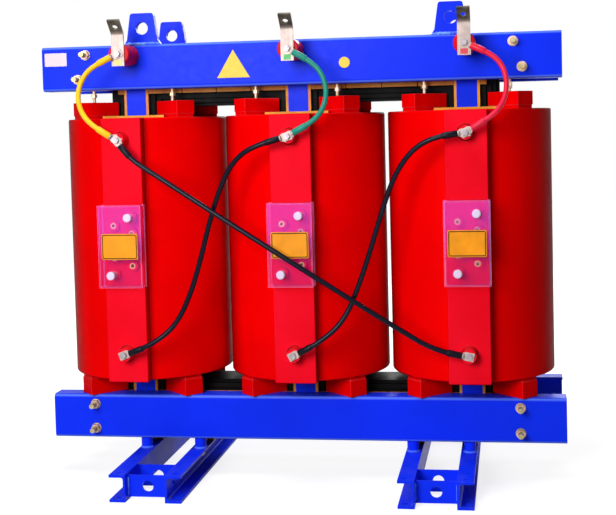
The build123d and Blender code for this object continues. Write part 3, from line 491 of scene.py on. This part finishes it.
def plated(name, dark, light, low, high, metallic):
    """Plated metal with faint streaks and a cloudy tint."""
    m = Nodes(name)
    streaks = m.noise(1.0, 4.0, 0.6, m.coords(BRUSHING))
    cloud = m.noise(38.0, 4.0)
    tint = m.ramp(cloud, ((0.3, dark), (0.72, light)))
    m.colour(m.mix(m.ramp(streaks, ((0.45, 0.0), (0.8, 0.3))), tint, scaled(dark, 0.75)))
    m.roughness(streaks, low, high)
    m.set(Metallic=metallic)
    m.bumps((streaks, 0.12, 0.0002), (cloud, 0.12, 0.0006))
    return m.material


def tinned_bar():
    """Tinned copper, lighter on the upright runs and painted dark on the tongues above the bends as their
    shade.
    """
    m = Nodes("tinned_bar")
    streaks = m.noise(1.0, 4.0, 0.6, m.coords(BRUSHING))
    cloud = m.noise(38.0, 4.0)
    # Painted shade: above the bends the tongues are painted dark in place of their shade and dark
    # reflections.
    tongue_shade_mask = m.ramp(m.maths("SUBTRACT", m.position("Z"), TONGUE_Z), ((0.0, 0.0), (0.012, 1.0)))
    tint = m.ramp(cloud, ((0.3, srgb(168, 150, 146)), (0.72, srgb(200, 184, 176))))
    tint = m.mix(m.ramp(streaks, ((0.45, 0.0), (0.8, 0.3))), tint, srgb(134, 122, 118))
    tongue_shade = m.ramp(cloud, ((0.35, srgb(52, 52, 48)), (0.7, srgb(104, 96, 80))))
    m.colour(m.mix(tongue_shade_mask, tint, tongue_shade))
    m.roughness(streaks, 0.46, 0.62)
    m.set(Metallic=0.45, Specular_IOR_Level=0.3)
    m.bumps((streaks, 0.12, 0.0002), (cloud, 0.12, 0.0006))
    return m.material


def zinc_steel():
    """Zinc-plated steel, clouded from yellow to pink."""
    m = Nodes("zinc_steel")
    cloud = m.noise(60.0, 4.0)
    m.colour(m.ramp(cloud, (
        (0.3, srgb(156, 136, 84)), (0.5, srgb(196, 168, 142)), (0.7, srgb(216, 178, 176)))))
    m.roughness(m.noise(140.0, 4.0), 0.34, 0.52)
    m.set(Metallic=0.6)
    m.bumps((m.noise(300.0, 3.0), 0.15, 0.0002), (cloud, 0.15, 0.0005))
    return m.material


def rod_thread():
    """Zinc-plated rod whose fine thread runs along Y, with painted shade in the thread's valleys."""
    m = Nodes("rod_thread")
    turns = m.wave(180.0, "Y", profile="TRI")
    cloud = m.noise(60.0, 4.0)
    tint = m.ramp(cloud, ((0.3, srgb(146, 132, 88)), (0.75, srgb(186, 172, 138))))
    # Painted shade: the thread's valleys are painted darker.
    m.colour(m.mix(m.ramp(turns, ((0.0, 0.55), (0.45, 0.0))), tint, srgb(70, 62, 40)))
    m.roughness(m.noise(140.0, 4.0), 0.34, 0.52)
    m.set(Metallic=0.7)
    m.bumps((turns, 0.8, 0.0009),)
    return m.material


def plastic(name, base, low, high, spread=0.12, specular=0.5):
    """Plain plastic, rubber or enamelled plate with a fine grain."""
    m = Nodes(name)
    cloud = m.noise(24.0, 4.0)
    m.colour(m.ramp(cloud, ((0.3, scaled(base, 1 - spread)), (0.72, scaled(base, 1 + spread)))))
    m.roughness(m.noise(90.0, 4.0), low, high)
    m.set(Specular_IOR_Level=specular)
    m.bumps((m.noise(420.0, 2.0), 0.2, 0.0002), (m.noise(20.0, 2.0), 0.15, 0.0008))
    return m.material


MATERIALS = {
    "cast_resin": cast_resin(),
    "frame_paint": frame_paint(),
    "core_varnish": core_varnish(),
    "laminate_board": laminate_board(
        "laminate_board", srgb(156, 88, 14), srgb(208, 128, 26), srgb(226, 156, 52)),
    "pressed_board": laminate_board(
        "pressed_board", srgb(214, 128, 16), srgb(246, 168, 34), srgb(250, 190, 70)),
    "winding_varnish": winding_varnish(),
    "clear_cover": clear_cover(),
    "tinned_bar": tinned_bar(),
    "insert_brass": plated(
        "insert_brass", srgb(176, 140, 84), srgb(222, 192, 132), 0.34, 0.5, metallic=0.7),
    "zinc_steel": zinc_steel(),
    "bright_steel": plated(
        "bright_steel", srgb(128, 120, 124), srgb(186, 174, 180), 0.36, 0.52, metallic=0.6),
    "white_nylon": plastic("white_nylon", srgb(224, 206, 236), 0.3, 0.45, 0.04, specular=0.3),
    "black_sleeve": plastic("black_sleeve", srgb(3, 2, 16), 0.26, 0.38, 0.2, specular=0.12),
    "yellow_cable": plastic("yellow_cable", srgb(248, 192, 12), 0.34, 0.48, specular=0.25),
    "green_cable": plastic("green_cable", srgb(20, 130, 112), 0.34, 0.48, specular=0.25),
    "red_cable": plastic("red_cable", srgb(226, 22, 60), 0.34, 0.48, specular=0.25),
    "black_cable": plastic("black_cable", srgb(3, 3, 24), 0.16, 0.24, 0.2, specular=0.13),
    "plate_yellow": plastic("plate_yellow", srgb(238, 202, 60), 0.3, 0.45, 0.06, specular=0.2),
    "weld_paint": weld_paint(),
    "plate_amber": plastic("plate_amber", srgb(240, 150, 14), 0.3, 0.45, 0.14, specular=0.2),
    "plate_white": plastic("plate_white", srgb(224, 206, 218), 0.3, 0.45, 0.04, specular=0.3),
    "plate_dark": plastic("plate_dark", srgb(84, 52, 10), 0.4, 0.55, 0.1, specular=0.1),
    "patch_yellow": plastic("patch_yellow", srgb(240, 206, 110), 0.35, 0.5, 0.06),
    "patch_green": plastic("patch_green", srgb(40, 168, 70), 0.35, 0.5, 0.1),
    "patch_red": plastic("patch_red", srgb(214, 40, 60), 0.35, 0.5, 0.08),
}


def dress(obj, material):
    obj.data.materials.clear()
    obj.data.materials.append(MATERIALS[material])


def dress_cad():
    """Every node in its slot's material, and a few in one of their own."""
    for part in frame["record"]["subparts"]:
        worn = nodes[part["node"]].data.materials
        if not worn:
            worn.append(None)
        for index in range(len(worn)):
            worn[index] = MATERIALS[part["material_slot"]]
    nodes["clamp_rods"].data.materials[0] = rod_thread()
    nodes["terminal_bolts"].data.materials[0] = MATERIALS["bright_steel"]
    nodes["hv_insulators"].data.materials[0] = insulator_resin()
    for name in ("tie_plate_channels", "barrier_boards"):
        nodes[name].data.materials[0] = MATERIALS["pressed_board"]


dress_cad()


# ---------------------------------------------------------------- pieces
def piece(name, mesh_or_curve, material):
    obj = bpy.data.objects.new(name, mesh_or_curve)
    scene.collection.objects.link(obj)
    dress(obj, material)
    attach(obj, "root")
    return obj


def mesh_from(bm, name, smooth=True):
    mesh = bpy.data.meshes.new(name)
    bmesh.ops.recalc_face_normals(bm, faces=bm.faces)
    bm.to_mesh(mesh)
    bm.free()
    for face in mesh.polygons:
        face.use_smooth = smooth
    return mesh


def lathe_along(line, profile, segments=20, bm=None):
    """Tube round a line of points; profile gives (distance along, radius) pairs."""
    bm = bm or bmesh.new()
    lengths = [0.0]
    for a, b in zip(line, line[1:]):
        lengths.append(lengths[-1] + (b - a).length)
    previous = None
    side = Vector((0, 1, 0))
    turns = [2 * pi * k / segments for k in range(segments)]
    for distance, radius in profile:
        index = 0
        while index < len(lengths) - 2 and lengths[index + 1] < distance:
            index += 1
        span = lengths[index + 1] - lengths[index]
        ratio = (distance - lengths[index]) / span
        centre = line[index].lerp(line[index + 1], ratio)
        along = (line[index + 1] - line[index]).normalized()
        side = (side - along * side.dot(along)).normalized()
        other = along.cross(side)
        ring = [bm.verts.new(centre + radius * (cos(turn) * side + sin(turn) * other)) for turn in turns]
        if previous:
            for k in range(segments):
                after = (k + 1) % segments
                bm.faces.new((previous[k], previous[after], ring[after], ring[k]))
        previous = ring
    return bm


# From the bolt to the sleeve, and the sleeve's (distance along, radius) pairs
SLEEVE_START = 0.0165
SLEEVE_PROFILE = ((0.0, 0.0061), (0.0, 0.0071), (0.0007, 0.0076), (0.0260, 0.0077), (0.0330, 0.0075),
                  (0.0344, 0.0072), (0.0350, 0.0061))


def make_sleeve(name, tag, bolt, toward, run, colour):
    """Shrink sleeve that grips the lug's barrel and follows the first stretch of the cable."""
    back = lug_axis(bolt, toward) * (BARREL_END - SLEEVE_START)
    mesh = mesh_from(lathe_along([run[0] - back, *run], SLEEVE_PROFILE), "sleeve")
    slot = "black_sleeve" if colour == "black" else colour + "_cable"
    obj = piece("sleeve_%s_%s" % (name.removeprefix("cable_"), tag), mesh, slot)
    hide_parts("cable_sleeves")
    return obj


def make_cables():
    for name, length in CABLE_LENGTHS.items():
        start, between, end = ROUTES[name]
        points = route_points(name)
        colour = name.split("_")[1]
        obj = nurbs_curve(name.replace("cable", "wire"), points, CABLE_RADIUS)
        dress(obj, colour + "_cable")
        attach(obj, "root")
        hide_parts(name)
        line = spline_line(points)
        sleeves = [make_sleeve(name, "a", start, between[0], line, colour),
                   make_sleeve(name, "b", end, between[-1], line[::-1], colour)]


make_cables()


def plate(name, outline, thickness, place, material, edge=0.0004):
    """Thin plate from an outline in its own XY plane, with softened edges."""
    bm = bmesh.new()
    base = [bm.verts.new((x, y, 0.0)) for x, y in outline]
    face = bm.faces.new(base)
    top = bmesh.ops.extrude_face_region(bm, geom=[face])
    lifted = [v for v in top["geom"] if isinstance(v, bmesh.types.BMVert)]
    bmesh.ops.translate(bm, verts=lifted, vec=(0, 0, thickness))
    bmesh.ops.transform(bm, matrix=place, verts=bm.verts)
    obj = piece(name, mesh_from(bm, name, smooth=False), material)
    bevel = obj.modifiers.new("edge", "BEVEL")
    bevel.width = edge
    bevel.segments = 2
    bevel.limit_method = "ANGLE"
    return obj


def rounded(width, height, radius, steps=6):
    """Outline of a rectangle with round corners."""
    points = []
    for index, (sx, sy) in enumerate(((1, 1), (-1, 1), (-1, -1), (1, -1))):
        cx, cy = sx * (width / 2 - radius), sy * (height / 2 - radius)
        for k in range(steps + 1):
            angle = pi / 2 * (index + k / steps)
            points.append((cx + radius * cos(angle), cy + radius * sin(angle)))
    return points


def disc(radius, count=40):
    return [(radius * cos(2 * pi * k / count), radius * sin(2 * pi * k / count)) for k in range(count)]


def front(x, y, z):
    """Place on a face that looks to the front: plate X to the right, plate Y up, thickness forward."""
    return Matrix.Translation((x, y, z)) @ Matrix.Rotation(pi / 2, 4, "X")


PLATE_THICKNESS = 0.0012
TRIANGLE_WIDTH = 0.080
TRIANGLE_HEIGHT = 0.067
COVER_PLATE_Z = 0.5745
PATCH_Z = 1.0065
RIM_LIFT = 0.0004


def ring_plate(name, width, height, radius, line, place):
    """Thin raised frame line on a plate."""
    outer = rounded(width, height, radius)
    inner = rounded(width - 2 * line, height - 2 * line, max(radius - line, 0.0005))
    bm = bmesh.new()
    rings = [[bm.verts.new((x, y, z)) for x, y in outline]
             for outline, z in ((outer, 0.0), (outer, RIM_LIFT), (inner, RIM_LIFT), (inner, 0.0))]
    count = len(outer)
    for low, high in zip(rings, rings[1:]):
        for k in range(count):
            after = (k + 1) % count
            bm.faces.new((low[k], low[after], high[after], high[k]))
    bmesh.ops.transform(bm, matrix=place, verts=bm.verts)
    return piece(name, mesh_from(bm, name, smooth=False), "plate_dark")


def make_plates():
    """Bare plates on the front upper clamp and on the tap covers, the covers' with a raised rim."""
    half, rise = TRIANGLE_WIDTH / 2, TRIANGLE_HEIGHT / 2
    triangle = [(-half, -rise), (half, -rise), (0.0, rise)]
    for name, outline, x, z, material, slot in (
            ("triangle", triangle, -0.147, 0.9995, "plate_yellow", "insert_brass"),
            ("disc", disc(0.013), 0.121, 0.994, "plate_yellow", "insert_brass"),
            ("white", rounded(0.056, 0.032, 0.002), -0.590, 1.022, "plate_white", "white_nylon")):
        plate("clamp_plate_" + name, outline, PLATE_THICKNESS, front(x, CLAMP_FRONT, z), material)
    for name, x in LIMBS.items():
        plate("cover_plate_" + name, rounded(0.088, 0.061, 0.004), PLATE_THICKNESS,
              front(x, COVER_FRONT, COVER_PLATE_Z), "plate_amber")
        ring_plate("cover_rim_" + name, 0.084, 0.057, 0.004, 0.0022,
                   front(x, COVER_FRONT - PLATE_THICKNESS, COVER_PLATE_Z))


def make_patches():
    """Phase colour patch near the lower end of each front busbar."""
    for (name, x), colour in zip(LIMBS.items(), ("patch_yellow", "patch_green", "patch_red")):
        plate("phase_patch_" + name, rounded(0.017, 0.012, 0.001), 0.0004, front(x, BUSBAR_FRONT, PATCH_Z),
              colour, 0.0001)


make_plates()
make_patches()


# ---------------------------------------------------------------- weld beads
# Lifting lugs: middle, half length, front and back face, and top of the clamp they stand on
LUG_X = 0.3715
LUG_HALF = 0.044
LUG_FACES = (0.136, 0.120)
CLAMP_TOP = 1.053
# Feet: middle of each foot, from it to the end plate's edge, the plate's outer face, lower and upper end
FOOT_X = 0.330
FOOT_GAP = 0.0465
FOOT_PLATE_END = 0.334
FOOT_PLATE_Z = (0.010, 0.053)
# Radius of the beads, and the length of one ripple
LUG_BEAD = 0.0042
FOOT_BEAD = 0.0024
BEAD_STEP = 0.0024


def weld_bead(bm, start, end, radius, rng):
    """Irregular bead of weld metal from start to end, with small ripples and rounded ends."""
    start, end = Vector(start), Vector(end)
    length = (end - start).length
    count = int(length / BEAD_STEP)
    line = []
    profile = []
    for k in range(count + 1):
        ratio = k / count
        stray = Vector((rng.uniform(-1, 1), rng.uniform(-1, 1), rng.uniform(-1, 1))) * radius * 0.12
        line.append(start.lerp(end, ratio) + stray)
    run = sum((b - a).length for a, b in zip(line, line[1:]))
    for k in range(count + 1):
        ratio = k / count
        taper = min(1.0, 0.35 + 6.0 * min(ratio, 1.0 - ratio))
        profile.append((0.999 * run * ratio, radius * taper * rng.uniform(0.86, 1.14)))
    lathe_along(line, profile, 10, bm)


def make_welds():
    """Beads along both faces of the lifting lugs and up the edges of the feet's end plates."""
    rng = random.Random(11)
    lugs = bmesh.new()
    for x in (-LUG_X, LUG_X):
        for side in (-1, 1):
            for face in LUG_FACES:
                y = side * face
                left, right = (x - LUG_HALF, y, CLAMP_TOP + 0.0008), (x + LUG_HALF, y, CLAMP_TOP + 0.0012)
                weld_bead(lugs, left, right, LUG_BEAD, rng)
    piece("lug_welds", mesh_from(lugs, "lug_welds"), "weld_paint")
    feet = bmesh.new()
    for x in (-FOOT_X, FOOT_X):
        for edge in (-FOOT_GAP, FOOT_GAP):
            for y in (-FOOT_PLATE_END, FOOT_PLATE_END):
                low, high = FOOT_PLATE_Z
                weld_bead(feet, (x + edge, y, low), (x + edge, y, high), FOOT_BEAD, rng)
    piece("foot_welds", mesh_from(feet, "foot_welds"), "weld_paint")


make_welds()


# ---------------------------------------------------------------- softened edges of the cast support blocks
def soften(names, width):
    """Round the sharp edges of the named nodes a little."""
    for name in names:
        weld = nodes[name].modifiers.new("join", "WELD")
        weld.merge_threshold = 0.00002
        bevel = nodes[name].modifiers.new("edge", "BEVEL")
        bevel.width = width
        bevel.segments = 2
        bevel.limit_method = "ANGLE"
        bevel.angle_limit = radians(35.0)
        bevel.harden_normals = True


soften(("upper_supports", "lower_supports"), 0.0016)


# ---------------------------------------------------------------- floor, lights and world
def seen_rays(tree):
    """1 for rays that show the pale surroundings: direct, off shiny metal and through clear plastic."""
    path = tree.nodes.new("ShaderNodeLightPath")
    seen = path.outputs["Is Camera Ray"]
    for ray in ("Is Glossy Ray", "Is Transmission Ray"):
        either = tree.nodes.new("ShaderNodeMath")
        either.operation = "MAXIMUM"
        tree.links.new(seen, either.inputs[0])
        tree.links.new(path.outputs[ray], either.inputs[1])
        seen = either.outputs[0]
    return seen


def make_stage():
    """White floor that keeps the object's shadow, a little darker near its feet."""
    bm = bmesh.new()
    bmesh.ops.create_grid(bm, x_segments=1, y_segments=1, size=9.0)
    mesh = bpy.data.meshes.new("floor")
    bm.to_mesh(mesh)
    bm.free()
    floor = bpy.data.objects.new("floor", mesh)
    scene.collection.objects.link(floor)
    material = bpy.data.materials.new("floor")
    material.use_nodes = True
    tree = material.node_tree
    tree.nodes.clear()
    diffuse = tree.nodes.new("ShaderNodeBsdfDiffuse")
    diffuse.inputs["Color"].default_value = (0.34, 0.34, 0.34, 1.0)
    glow = tree.nodes.new("ShaderNodeEmission")
    glow.inputs["Color"].default_value = (1.0, 1.0, 1.0, 1.0)
    level = tree.nodes.new("ShaderNodeMath")
    level.operation = "MULTIPLY"
    place = tree.nodes.new("ShaderNodeTexCoord")
    away = tree.nodes.new("ShaderNodeVectorMath")
    away.operation = "LENGTH"
    tree.links.new(place.outputs["Object"], away.inputs[0])
    fade = tree.nodes.new("ShaderNodeMapRange")
    fade.interpolation_type = "SMOOTHSTEP"
    for socket, value in (("From Min", 0.7), ("From Max", 1.9), ("To Min", 0.8), ("To Max", 1.0)):
        fade.inputs[socket].default_value = value
    tree.links.new(away.outputs["Value"], fade.inputs["Value"])
    tree.links.new(fade.outputs["Result"], level.inputs[1])
    tree.links.new(seen_rays(tree), level.inputs[0])
    tree.links.new(level.outputs[0], glow.inputs["Strength"])
    both = tree.nodes.new("ShaderNodeAddShader")
    out = tree.nodes.new("ShaderNodeOutputMaterial")
    tree.links.new(diffuse.outputs[0], both.inputs[0])
    tree.links.new(glow.outputs[0], both.inputs[1])
    tree.links.new(both.outputs[0], out.inputs["Surface"])
    floor.data.materials.append(material)


def make_world():
    """Dim surroundings that look white where they are seen."""
    world = bpy.data.worlds.new("studio")
    scene.world = world
    world.use_nodes = True
    tree = world.node_tree
    background = tree.nodes["Background"]
    background.inputs["Color"].default_value = (1.0, 1.0, 1.0, 1.0)
    strength = tree.nodes.new("ShaderNodeMapRange")
    strength.inputs["To Min"].default_value = 0.06
    strength.inputs["To Max"].default_value = 1.0
    tree.links.new(seen_rays(tree), strength.inputs["Value"])
    tree.links.new(strength.outputs["Result"], background.inputs["Strength"])


def area_light(name, place, target, size, power):
    data = bpy.data.lights.new(name, "AREA")
    data.shape = "DISK"
    data.size = size
    data.energy = power
    lamp = bpy.data.objects.new(name, data)
    lamp.location = place
    lamp.rotation_euler = (Vector(target) - Vector(place)).to_track_quat("-Z", "Y").to_euler()
    scene.collection.objects.link(lamp)


def make_lights():
    middle = (0.0, 0.0, 0.6)
    area_light("key", (-0.8, -2.9, 1.5), middle, 1.5, 84.0)
    area_light("fill", (3.2, 1.2, 1.4), middle, 2.4, 6.0)
    area_light("back", (0.4, 3.2, 2.4), middle, 2.4, 105.0)
    area_light("top", (-0.3, -0.5, 3.4), middle, 1.6, 56.0)


make_stage()
make_world()
make_lights()
scene.view_settings.view_transform = "Standard"
